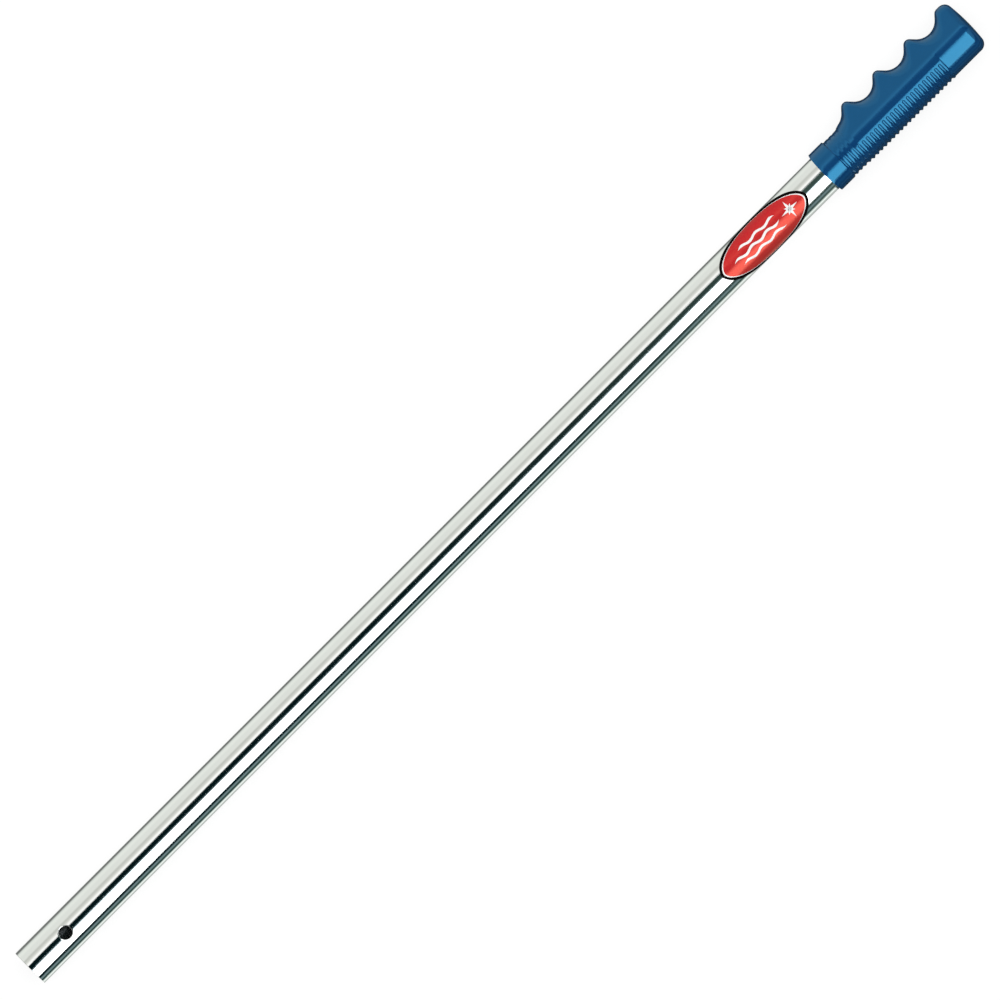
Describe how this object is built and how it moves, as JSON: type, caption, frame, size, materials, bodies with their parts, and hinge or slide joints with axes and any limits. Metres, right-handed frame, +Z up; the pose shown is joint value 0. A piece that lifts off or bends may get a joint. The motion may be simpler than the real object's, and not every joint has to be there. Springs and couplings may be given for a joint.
{
  "type": "boat hook handle",
  "caption": "Straight fixed-length pole handle: anodised tube with an open snap-in socket and lock-button hole at one end, ribbed finger grip at the other, oval label.",
  "frame": {"origin": "middle of the bounding box's base, with the handle lying on its side", "axes": "+X from the open socket end to the grip's closed end, +Y towards the grip's finger crests, +Z up, the side with the lock hole and the label. The tube's axis runs along X at y -0.004025 m, z 0.014398 m"},
  "size_m": [0.816, 0.0376, 0.0288],
  "materials": {
    "anodised_aluminium": "bright drawn and anodised, close to a mirror",
    "blue_vinyl": "moulded, soft gloss",
    "label_film": "printed film, gloss, black border with a white keyline",
    "closed_cell_foam": "matt, fine cells"
  },
  "bodies": {
    "root": {"tube": "anodised_aluminium", "grip": "blue_vinyl", "label": "label_film", "float_plug": "closed_cell_foam"}
  },
  "joints": []
}
